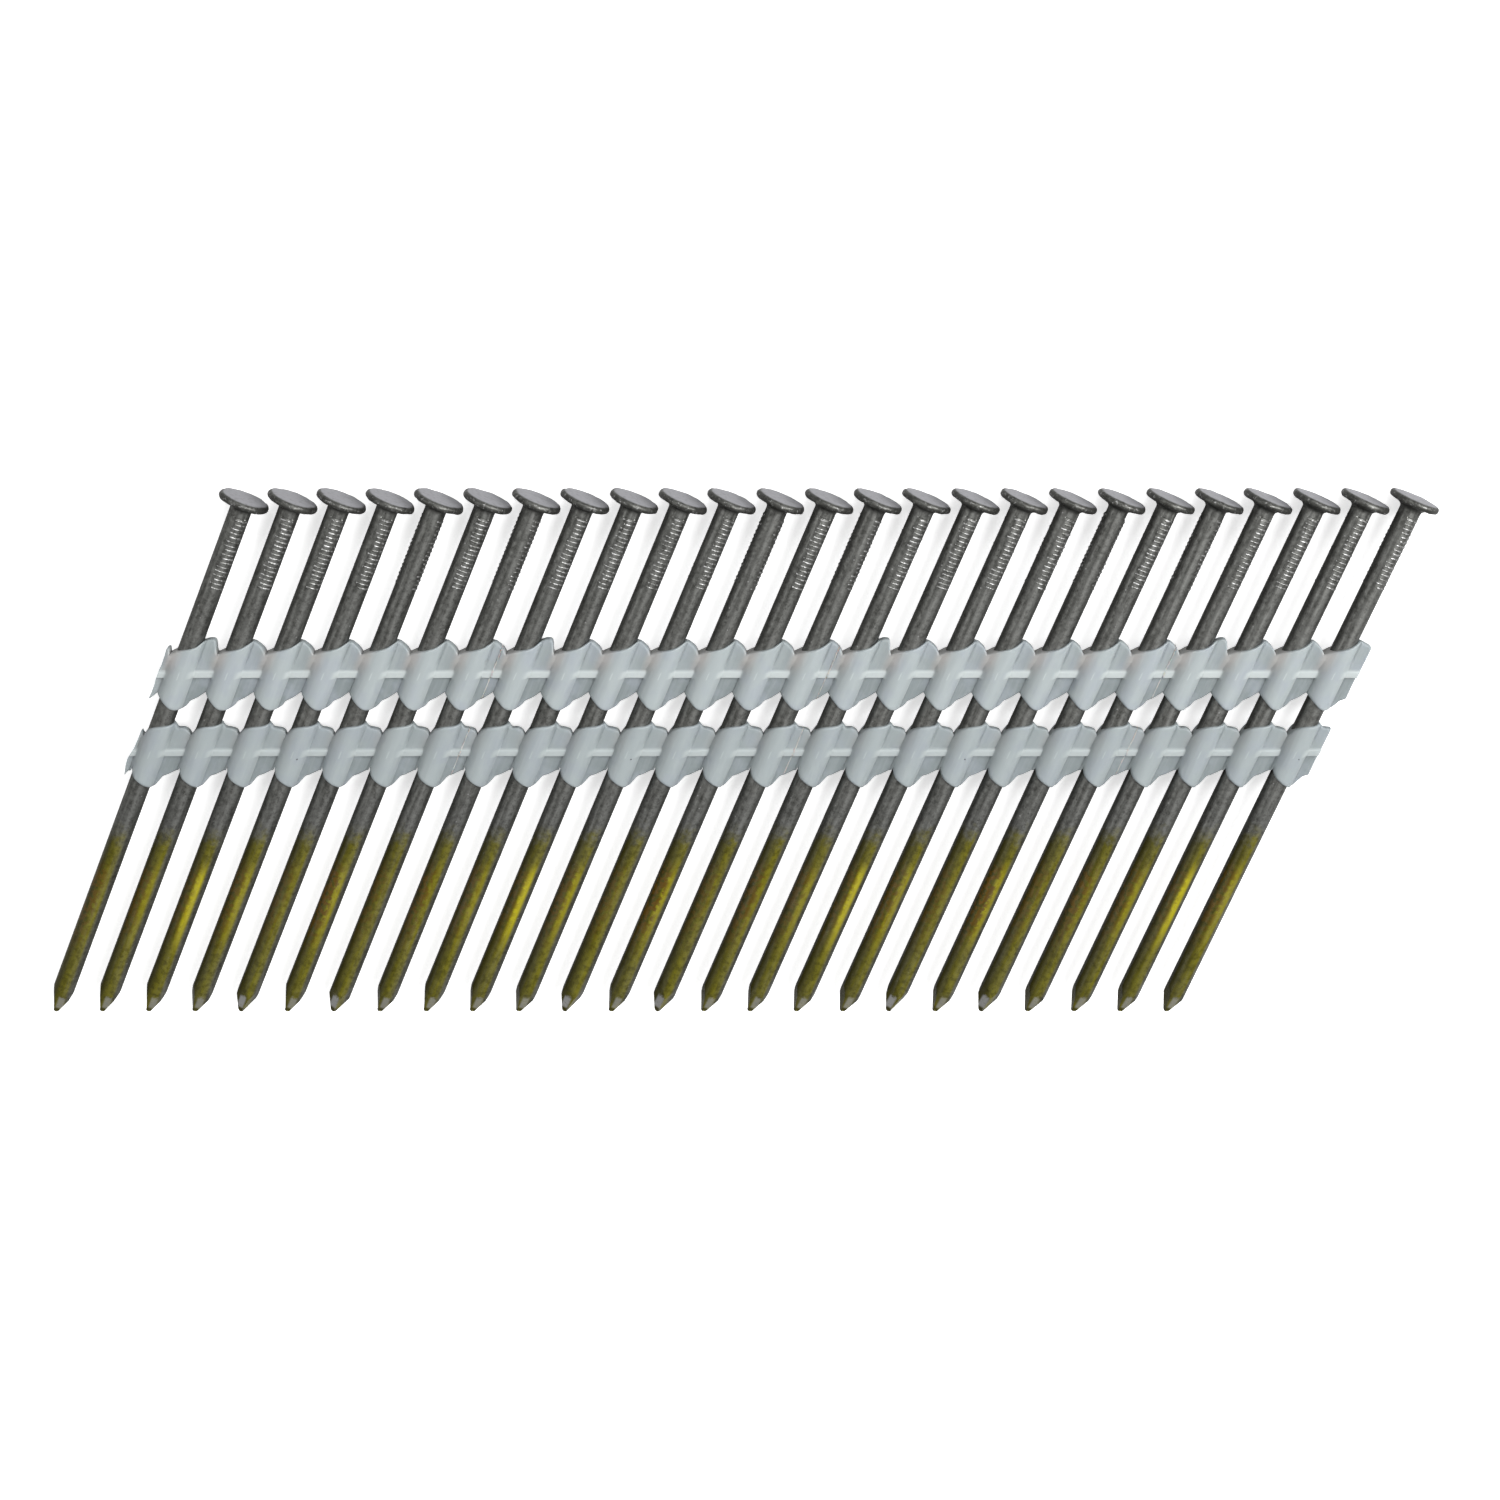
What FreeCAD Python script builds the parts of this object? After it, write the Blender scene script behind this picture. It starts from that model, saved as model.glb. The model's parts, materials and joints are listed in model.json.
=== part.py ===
import FreeCAD, Part
import math
import os

# A flat strip of collated framing nails: full round head nails that lean in the strip,
# held side by side by two moulded plastic bands. Millimetres.
# +X runs along the strip, from the lead nail to the rear nail. +Y points to the heads.
# +Z stands square to the strip. The origin is the centre of the bounding box's floor.

# nails
nailCount = 25
nailLength = 82.55          # top of head to tip
shankRadius = 1.524
headRadius = 3.57
headRimThickness = 0.95
headConeDepth = 0.45        # cone under the head, where it runs into the shank
headConeRadius = 2.45
headTopRound = 0.22
headUnderRound = 0.30
pointLength = 3.75          # four-sided cut point
pointFlatHalfWidth = 0.30   # the blunt end that the cutter leaves

# the row of nails
nailPitch = 6.69            # head to head, along the strip
leanAngle = 22.4            # degrees, from +Y

# bands, with levels measured square to the strip
upperBandLevel = 26.2       # line of head centres down to the band's middle
lowerBandLevel = 37.6
upperPeakHeight = 5.9       # the ear at each collar's rear side, above the band's middle
lowerPeakHeight = 5.2
nailsPerMoulding = 7
webThickness = 1.1
webTopHeight = 4.1          # above the band's middle
webBottomDepth = 1.6        # below the band's middle, at the low side of a web
collarWall = 0.476          # plastic round the nail, which sets the collar's size
collarTopHeight = 4.8
lobeDepth = 3.9             # the rounded tongue that hangs below each collar
lobeStart = 0.9             # where the tongue starts, left of the nail
lobeEnd = 2.7               # where the tongue ends, right of the nail
lobeShoulderDepth = 2.7
peakOffset = 1.8            # the ear's top, right of the nail
peakRun = 1.0               # half the length of the ear's round top
peakRound = 0.35            # how far the round top falls to each side
ribBottomHeight = 0.7       # stiffening rib across each web
ribTopHeight = 1.9
ribThickness = 1.6
collarClearance = 0.05      # radial running fit of a collar on its nail

# ends and seams of the mouldings
seamClearance = 0.02        # each side of the line where two mouldings meet
seamBevel = 8.0             # degrees, front and back, so that the seam can fold
leadStubLength = 2.9        # web left ahead of the lead nail, square to the nail
rearStubLength = 3.5        # web left behind the rear nail, square to the nail

lean = math.radians(leanAngle)
towardTip = FreeCAD.Vector(-math.sin(lean), -math.cos(lean), 0)
acrossNails = FreeCAD.Vector(math.cos(lean), -math.sin(lean), 0)
up = FreeCAD.Vector(0, 0, 1)
acrossPitch = nailPitch * math.cos(lean)
collarRadius = shankRadius + collarWall


def headCentre(index):
    """Centre of a head's top face, in the strip's middle plane."""
    return FreeCAD.Vector(index * nailPitch, 0, 0)


def pointAt(index, offset, level):
    """A point beside nail `index`: offset along X from its axis, level along Y."""
    return FreeCAD.Vector(index * nailPitch + level * math.tan(lean) + offset, level, 0)


def makeHead():
    """Head profile turned about Z, top face at z = 0, with the shank below it."""
    coneEnd = headRimThickness + headConeDepth
    halfSection = Part.makePolygon([
        FreeCAD.Vector(0, 0, 0),
        FreeCAD.Vector(headRadius, 0, 0),
        FreeCAD.Vector(headRadius, 0, -headRimThickness),
        FreeCAD.Vector(headConeRadius, 0, -headRimThickness),
        FreeCAD.Vector(shankRadius, 0, -coneEnd),
        FreeCAD.Vector(shankRadius, 0, -nailLength),
        FreeCAD.Vector(0, 0, -nailLength),
        FreeCAD.Vector(0, 0, 0)])
    solid = Part.Face(halfSection).revolve(FreeCAD.Vector(0, 0, 0), up, 360)
    topEdges = []
    underEdges = []
    for edge in solid.Edges:
        if not isinstance(edge.Curve, Part.Circle) or abs(edge.Curve.Radius - headRadius) > 1e-6:
            continue
        if abs(edge.Curve.Center.z) < 1e-6:
            topEdges.append(edge)
        else:
            underEdges.append(edge)
    solid = solid.makeFillet(headTopRound, topEdges)
    underEdges = [edge for edge in solid.Edges
                  if isinstance(edge.Curve, Part.Circle)
                  and abs(edge.Curve.Radius - headRadius) < 1e-6
                  and abs(edge.Curve.Center.z + headRimThickness) < 1e-6]
    return solid.makeFillet(headUnderRound, underEdges)


def makeNail():
    """One nail, head top at the origin, pointing down -Z, with a four-sided point."""
    body = makeHead()
    shoulder = pointLength - nailLength
    clear = 2 * shankRadius
    waste = Part.Face(Part.makePolygon([
        FreeCAD.Vector(pointFlatHalfWidth, -clear, -nailLength),
        FreeCAD.Vector(shankRadius, -clear, shoulder),
        FreeCAD.Vector(clear, -clear, shoulder),
        FreeCAD.Vector(clear, -clear, -nailLength),
        FreeCAD.Vector(pointFlatHalfWidth, -clear, -nailLength)]))
    wedge = waste.extrude(FreeCAD.Vector(0, 2 * clear, 0))
    for side in range(4):
        turned = wedge.copy()
        turned.rotate(FreeCAD.Vector(0, 0, 0), up, 90 * side)
        body = body.cut(turned)
    return body


def placeNail(nail, index):
    """Lay a nail in the strip, with two flats of its point facing front and back."""
    placed = nail.copy()
    turn = FreeCAD.Rotation(FreeCAD.Vector(0, 0, -1), towardTip)
    placed.Placement = FreeCAD.Placement(headCentre(index), turn)
    return placed


def collarTop(index, middle, peakHeight):
    """Top edge over one collar, left to right: a slope, then the ear's round top."""
    shoulder = pointAt(index, -collarRadius, middle + collarTopHeight - peakRound)
    rise = pointAt(index, peakOffset - peakRun, middle + peakHeight - peakRound)
    peak = pointAt(index, peakOffset, middle + peakHeight)
    fall = pointAt(index, peakOffset + peakRun, middle + peakHeight - peakRound)
    return [Part.makeLine(shoulder, rise), Part.Arc(rise, peak, fall).toShape()]


def collarBottom(index, middle):
    """Bottom edge under one collar, left to right: the round tongue."""
    start = pointAt(index, -lobeStart, middle - lobeShoulderDepth)
    lowest = pointAt(index, (lobeEnd - lobeStart) / 2, middle - lobeDepth)
    end = pointAt(index, lobeEnd, middle - lobeShoulderDepth)
    left = pointAt(index, -collarRadius, middle - webBottomDepth)
    return [Part.makeLine(left, start), Part.Arc(start, lowest, end).toShape()]


def joinEdges(chain, target):
    """Add a straight edge from the end of a chain to a point."""
    last = chain[-1].lastVertex(True).Point
    if last.distanceToPoint(target) > 1e-6:
        chain.append(Part.makeLine(last, target))


def bandOutline(firstNail, lastNail, level, peakHeight):
    """Face in the strip's middle plane: the whole band from one end to the other.
    Each end runs half a pitch or more past its last nail, to be trimmed afterwards."""
    middle = -level
    overrun = nailPitch
    topLeft = pointAt(firstNail, -overrun, middle + webTopHeight)
    topRight = pointAt(lastNail, overrun, middle + webTopHeight)
    bottomLeft = pointAt(firstNail, -overrun, middle - webBottomDepth)
    bottomRight = pointAt(lastNail, overrun, middle - webBottomDepth)
    top = []
    bottom = []
    for index in range(firstNail, lastNail + 1):
        upperEdges = collarTop(index, middle, peakHeight)
        lowerEdges = collarBottom(index, middle)
        for chain, start, edges in ((top, topLeft, upperEdges), (bottom, bottomLeft, lowerEdges)):
            if chain:
                joinEdges(chain, edges[0].firstVertex(True).Point)
            else:
                chain.append(Part.makeLine(start, edges[0].firstVertex(True).Point))
            chain.extend(edges)
    joinEdges(top, topRight)
    joinEdges(bottom, bottomRight)
    ends = [Part.makeLine(topLeft, bottomLeft), Part.makeLine(topRight, bottomRight)]
    wire = Part.Wire(Part.__sortEdges__(top + bottom + ends))
    return Part.Face(wire)


def extrudeBothWays(face, thickness):
    """Solid of a given thickness, centred on the strip's middle plane."""
    lowered = face.copy()
    lowered.translate(up * (-thickness / 2))
    return lowered.extrude(up * thickness)


def nailCylinder(index, radius):
    """Cylinder about a nail's axis, longer than the nail."""
    start = headCentre(index) - towardTip * nailLength
    return Part.makeCylinder(radius, 3 * nailLength, start, towardTip)


def ribAfter(index, middle):
    """Stiffening rib across the web behind one nail."""
    corners = [pointAt(index, 0, middle + ribBottomHeight),
               pointAt(index + 1, 0, middle + ribBottomHeight),
               pointAt(index + 1, 0, middle + ribTopHeight),
               pointAt(index, 0, middle + ribTopHeight)]
    return extrudeBothWays(Part.Face(Part.makePolygon(corners + corners[:1])), ribThickness)


def trimPrism(leftEnd, rightEnd, leftBevel, rightBevel):
    """Prism that trims a band's two ends. Distances are square to the nails, from nail 0.
    A bevelled end comes to an edge in the middle plane, and a free end is plain."""
    depth = 2 * collarRadius
    leftRun = depth * math.tan(math.radians(leftBevel))
    rightRun = depth * math.tan(math.radians(rightBevel))
    section = [(leftEnd, 0), (leftEnd + leftRun, depth), (rightEnd - rightRun, depth),
               (rightEnd, 0), (rightEnd - rightRun, -depth), (leftEnd + leftRun, -depth)]
    reach = nailCount * nailPitch + nailLength
    points = [acrossNails * across + up * height - towardTip * reach for across, height in section]
    face = Part.Face(Part.makePolygon(points + points[:1]))
    return face.extrude(towardTip * (2 * reach))


def makeBand(mouldingIndex, level, peakHeight):
    """One moulding: the collars of its own nails, the webs between them and their ribs."""
    firstNail = mouldingIndex * nailsPerMoulding
    lastNail = min(firstNail + nailsPerMoulding, nailCount) - 1
    middle = -level
    outline = bandOutline(firstNail, lastNail, level, peakHeight)
    thick = extrudeBothWays(outline, 4 * collarRadius)
    pieces = []
    for index in range(firstNail, lastNail + 1):
        pieces.append(nailCylinder(index, collarRadius).common(thick))
        pieces.append(ribAfter(index, middle))
    pieces.append(ribAfter(firstNail - 1, middle))
    band = extrudeBothWays(outline, webThickness).multiFuse(pieces)

    if firstNail == 0:
        leftEnd, leftBevel = -leadStubLength, 0
    else:
        leftEnd, leftBevel = (firstNail - 0.5) * acrossPitch + seamClearance, seamBevel
    if lastNail == nailCount - 1:
        rightEnd, rightBevel = lastNail * acrossPitch + rearStubLength, 0
    else:
        rightEnd, rightBevel = (lastNail + 0.5) * acrossPitch - seamClearance, seamBevel
    band = band.common(trimPrism(leftEnd, rightEnd, leftBevel, rightBevel))
    bores = [nailCylinder(index, shankRadius + collarClearance)
             for index in range(firstNail, lastNail + 1)]
    return band.cut(bores).removeSplitter()


parts = {}
nail = makeNail()
for index in range(nailCount):
    parts["nail_%02d" % (index + 1)] = placeNail(nail, index)

mouldingCount = math.ceil(nailCount / nailsPerMoulding)
for mouldingIndex in range(mouldingCount):
    name = "band_%d" % (mouldingIndex + 1)
    parts["upper_" + name] = makeBand(mouldingIndex, upperBandLevel, upperPeakHeight)
    parts["lower_" + name] = makeBand(mouldingIndex, lowerBandLevel, lowerPeakHeight)

# move everything so that the origin is the centre of the bounding box's floor
bounds = Part.makeCompound(list(parts.values())).optimalBoundingBox(False)
toOrigin = FreeCAD.Vector(-bounds.Center.x, -bounds.Center.y, -bounds.ZMin)

os.makedirs("parts", exist_ok=True)
for name, shape in parts.items():
    shape.translate(toOrigin)
    shape.exportStep("parts/%s.step" % name)
    print(name, len(shape.Solids), shape.isValid(), round(shape.Volume, 2))
print("lead head centre", [round(value, 4) for value in toOrigin])
print("bounds", bounds)
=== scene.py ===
import json
import math
import random

import bmesh
import bpy
from mathutils import Matrix, Vector

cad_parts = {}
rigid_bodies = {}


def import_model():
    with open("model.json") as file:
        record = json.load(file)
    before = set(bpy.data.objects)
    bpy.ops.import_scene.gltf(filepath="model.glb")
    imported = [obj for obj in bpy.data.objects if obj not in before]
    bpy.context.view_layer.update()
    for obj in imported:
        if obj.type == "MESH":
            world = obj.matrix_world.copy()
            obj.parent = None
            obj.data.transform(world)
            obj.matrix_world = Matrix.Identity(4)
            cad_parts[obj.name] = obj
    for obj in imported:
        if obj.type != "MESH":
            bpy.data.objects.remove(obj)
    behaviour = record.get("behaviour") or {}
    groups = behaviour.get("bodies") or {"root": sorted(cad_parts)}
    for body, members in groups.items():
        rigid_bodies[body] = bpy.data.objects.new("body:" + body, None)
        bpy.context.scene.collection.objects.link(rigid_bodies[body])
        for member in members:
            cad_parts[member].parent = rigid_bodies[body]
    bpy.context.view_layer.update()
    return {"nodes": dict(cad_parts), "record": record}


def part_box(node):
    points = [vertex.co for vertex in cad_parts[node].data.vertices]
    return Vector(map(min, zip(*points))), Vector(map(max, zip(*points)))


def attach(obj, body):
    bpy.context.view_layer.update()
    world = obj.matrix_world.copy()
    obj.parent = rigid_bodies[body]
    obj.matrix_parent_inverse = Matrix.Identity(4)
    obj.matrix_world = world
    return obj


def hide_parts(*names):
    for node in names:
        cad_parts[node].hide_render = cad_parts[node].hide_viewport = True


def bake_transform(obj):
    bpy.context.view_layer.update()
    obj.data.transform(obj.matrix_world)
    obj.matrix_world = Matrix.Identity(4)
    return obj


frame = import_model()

mm = 0.001
scene = bpy.context.scene
print("frame loaded:", len(frame["nodes"]), "nodes")

# where things lie, from the frame
record = frame["record"]
mounts = {mount["name"]: mount for mount in record["mounts"]}
joints = {joint["name"]: joint for joint in record["behaviour"]["joints"]}
bodies = record["behaviour"]["bodies"]
towardTip = Vector(joints["nail_01_slide"]["axis"]).normalized()
across = Vector((-towardTip.y, towardTip.x, 0))          # square to the nails, to the rear
lean = math.atan2(-towardTip.x, -towardTip.y)
nailNames = sorted(name for name in bodies if name.startswith("nail_"))
nailCount = len(nailNames)
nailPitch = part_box(nailNames[1])[0].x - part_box(nailNames[0])[0].x
rearHead = Vector(mounts["rear_head_top"]["pos_m"])
leadHead = rearHead - Vector(((nailCount - 1) * nailPitch, 0, 0))
shankRadius = mounts["lead_nail_shank"]["dims"]["r_mm"] * mm
heldBy = {joint["child"]: joint["parent"] for joint in joints.values()}
sections = []                                            # number, first nail, one past the last
for number, section in enumerate(sorted(name for name in bodies if name.startswith("section_")), 1):
    held = [index for index, nail in enumerate(nailNames) if heldBy[nail] == section]
    sections.append((number, held[0], held[-1] + 1))


# helpers
def smoothStep(low, high, value):
    part = min(1.0, max(0.0, (value - low) / (high - low)))
    return part * part * (3 - 2 * part)


def throughPoints(points, x):
    # a smooth curve through points, with sharp ends where one collar meets the next
    last = len(points) - 1
    for index in range(last):
        if x <= points[index + 1][0] or index == last - 1:
            break
    x1, y1 = points[index]
    x2, y2 = points[index + 1]
    x0, y0 = points[index - 1] if index > 0 else (x1 - (x2 - x1), y1 - (y2 - y1))
    x3, y3 = points[index + 2] if index + 2 <= last else (x2 + (x2 - x1), y2 + (y2 - y1))
    part = (x - x1) / (x2 - x1)
    slopeIn = (y2 - y0) / (x2 - x0) * (x2 - x1)
    slopeOut = (y3 - y1) / (x3 - x1) * (x2 - x1)
    cubed, squared = part ** 3, part ** 2
    return ((2 * cubed - 3 * squared + 1) * y1 + (cubed - 2 * squared + part) * slopeIn
            + (3 * squared - 2 * cubed) * y2 + (cubed - squared) * slopeOut)


def meshObject(name, vertices, faces):
    mesh = bpy.data.meshes.new(name)
    mesh.from_pydata(vertices, [], faces)
    mesh.validate()
    obj = bpy.data.objects.new(name, mesh)
    scene.collection.objects.link(obj)
    return obj


def faceOutwards(mesh):
    work = bmesh.new()
    work.from_mesh(mesh)
    bmesh.ops.recalc_face_normals(work, faces=work.faces)
    work.to_mesh(mesh)
    work.free()


def smallPiece(name, vertices, faces, material):
    piece = meshObject(name, vertices, faces)
    faceOutwards(piece.data)
    piece.data.shade_smooth()
    piece.data.materials.append(material)
    return piece


def bakeModifiers(obj, name):
    depsgraph = bpy.context.evaluated_depsgraph_get()
    mesh = bpy.data.meshes.new_from_object(obj.evaluated_get(depsgraph))
    mesh.name = name
    baked = bpy.data.objects.new(name, mesh)
    scene.collection.objects.link(baked)
    return baked


def setInputs(modifier, values):
    for item in modifier.node_group.interface.items_tree:
        if item.in_out == "INPUT" and item.name in values:
            modifier[item.identifier] = values[item.name]


def ringFaces(rings, around, start=0, flipped=False):
    # quads from each ring of vertices to the next
    faces = []
    for ring in range(rings - 1):
        here = start + ring * around
        for k in range(around):
            nextK = (k + 1) % around
            quad = (here + k, here + around + k, here + around + nextK, here + nextK)
            faces.append(quad[:1] + quad[:0:-1] if flipped else quad)
    return faces


def colour(red, green, blue):
    return (red, green, blue, 1.0)


class Wiring:
    # short hands for adding and joining nodes in one tree
    def __init__(self, tree):
        self.tree = tree

    def node(self, kind, links=None, **settings):
        made = self.tree.nodes.new(kind)
        for key, value in settings.items():
            setattr(made, key, value)
        self.dress(made, links or {})
        return made

    def dress(self, node, values):
        for socket, value in values.items():
            self.feed(node.inputs[socket], value)

    def feed(self, socket, value):
        if isinstance(value, bpy.types.NodeSocket):
            self.tree.links.new(value, socket)
        elif isinstance(value, bpy.types.Node):
            self.tree.links.new(value.outputs[0], socket)
        else:
            socket.default_value = value

    def math(self, operation, *values, clamp=False):
        return self.node("ShaderNodeMath", dict(enumerate(values)), operation=operation,
                         use_clamp=clamp).outputs[0]

    def times(self, product, *factors):
        for factor in factors:
            product = self.math("MULTIPLY", product, factor)
        return product

    def apart(self, first, second):
        return self.math("ABSOLUTE", self.math("SUBTRACT", first, second))

    def ramp(self, value, low, high, start=0.0, end=1.0):
        return self.node("ShaderNodeMapRange", dict(enumerate((value, low, high, start, end))),
                         interpolation_type="SMOOTHSTEP").outputs[0]

    def mix(self, factor, first, second):
        return self.node("ShaderNodeMix", {0: factor, 6: first, 7: second},
                         data_type="RGBA").outputs[2]

    def layer(self, base, tone, *masks):
        return self.mix(self.times(*masks), base, tone)

    def vector(self, x=0.0, y=0.0, z=0.0):
        return self.node("ShaderNodeCombineXYZ", {0: x, 1: y, 2: z}).outputs[0]

    def split(self, vector):
        return self.node("ShaderNodeSeparateXYZ", {0: vector}).outputs

    def vectorMath(self, operation, *values):
        return self.node("ShaderNodeVectorMath", dict(enumerate(values)),
                         operation=operation).outputs[0]

    def distance(self, x, y):
        return self.node("ShaderNodeVectorMath", {0: self.vector(x, y)},
                         operation="LENGTH").outputs["Value"]

    def noise(self, place, scale, detail=2.0, roughness=0.5):
        return self.node("ShaderNodeTexNoise", {"Vector": place, "Scale": scale, "Detail": detail,
                                                "Roughness": roughness}).outputs[0]

    def attribute(self, name, output="Fac"):
        return self.node("ShaderNodeAttribute", attribute_name=name).outputs[output]

    def objectPlace(self):
        return self.node("ShaderNodeTexCoord").outputs["Object"]

    def group(self, group, **values):
        return self.node("ShaderNodeGroup", values, node_tree=group).outputs[0]

    def bump(self, relief, distance):
        return self.node("ShaderNodeBump", {"Strength": 0.4, "Distance": distance,
                                            "Height": relief}).outputs[0]

    def surface(self, values):
        self.dress(self.tree.nodes["Principled BSDF"], values)

    def store(self, geometry, name, value, kind="FLOAT"):
        return self.node("GeometryNodeStoreNamedAttribute",
                         {"Geometry": geometry, "Name": name, "Value": value},
                         data_type=kind, domain="POINT")


def newMaterial(name):
    material = bpy.data.materials.new(name)
    material.use_nodes = True
    return material, Wiring(material.node_tree)


def newGroup(name, kind, inputs, output):
    # a node group, its wiring, and its inputs by name
    group = bpy.data.node_groups.new(name, kind)
    for label, sort in inputs.items():
        group.interface.new_socket(name=label, in_out="INPUT", socket_type="NodeSocket" + sort)
    label, sort = output
    group.interface.new_socket(name=label, in_out="OUTPUT", socket_type="NodeSocket" + sort)
    w = Wiring(group)
    given = {socket.name: socket for socket in w.node("NodeGroupInput").outputs if socket.name}
    return group, w, given


# shader groups
def streakGroup():
    # fine patchy streaks that follow a long axis: drawn wire, or plastic that flowed
    group, w, given = newGroup("streaks", "ShaderNodeTree", {
        "Place": "Vector", "Across": "Float", "Along": "Float", "Soft": "Float",
        "Hard": "Float"}, ("Mask", "Float"))
    stretch = w.vector(given["Across"], given["Across"], given["Along"])
    placed = w.vectorMath("MULTIPLY", given["Place"], stretch)
    noise = w.noise(placed, scale=1.0, detail=4.0, roughness=0.6)
    w.node("NodeGroupOutput", {0: w.ramp(noise, given["Soft"], given["Hard"])})
    return group


def pitGroup():
    # small scattered pits or specks, some missing
    group, w, given = newGroup("pits", "ShaderNodeTree", {
        "Place": "Vector", "Scale": "Float", "Size": "Float", "Share": "Float"},
        ("Mask", "Float"))
    cells = w.node("ShaderNodeTexVoronoi", {"Vector": given["Place"], "Scale": given["Scale"],
                                            "Randomness": 1.0})
    inside = w.ramp(cells.outputs["Distance"], given["Size"], 0.0)
    chosen = w.node("ShaderNodeSeparateColor", {0: cells.outputs["Color"]})
    kept = w.math("LESS_THAN", chosen.outputs[0], given["Share"])
    w.node("NodeGroupOutput", {0: w.times(inside, kept)})
    return group


streaks = streakGroup()
pits = pitGroup()

# materials
nailLengthMm = 82.55             # top of head to point
pointMm = 3.75                   # length of the cut point
steelLook = {
    "shadow": colour(0.036, 0.036, 0.032),
    "middle": colour(0.150, 0.152, 0.142),
    "light": colour(0.250, 0.252, 0.240),
    "polished": colour(0.55, 0.55, 0.55),
    "pit": colour(0.014, 0.013, 0.012),
    "headTopHighlight": colour(0.440, 0.440, 0.465),
    "coating": colour(0.165, 0.148, 0.002),
    "coatingDark": colour(0.030, 0.026, 0.001),
    "coatingHighlight": colour(0.430, 0.375, 0.004),
    "amber": colour(0.110, 0.056, 0.001),
    "bareCut": colour(0.37, 0.37, 0.37),
    "coatStart": 50.4,           # mm from the top of the head
    "coatSoft": 4.2,
    "coatRagged": 7.0,
    "seedStep": 97.0,            # mm of noise between one nail's pattern and the next
}
steelShare = {                   # how strongly each layer covers what is under it
    "drawn": 0.40,
    "rubbed": 0.65,
    "pits": 0.70,
    "flankShade": 0.68,
    "rimSideShade": 0.60,
    "tipRim": 0.80,
    "coated": 0.94,
}


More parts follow.
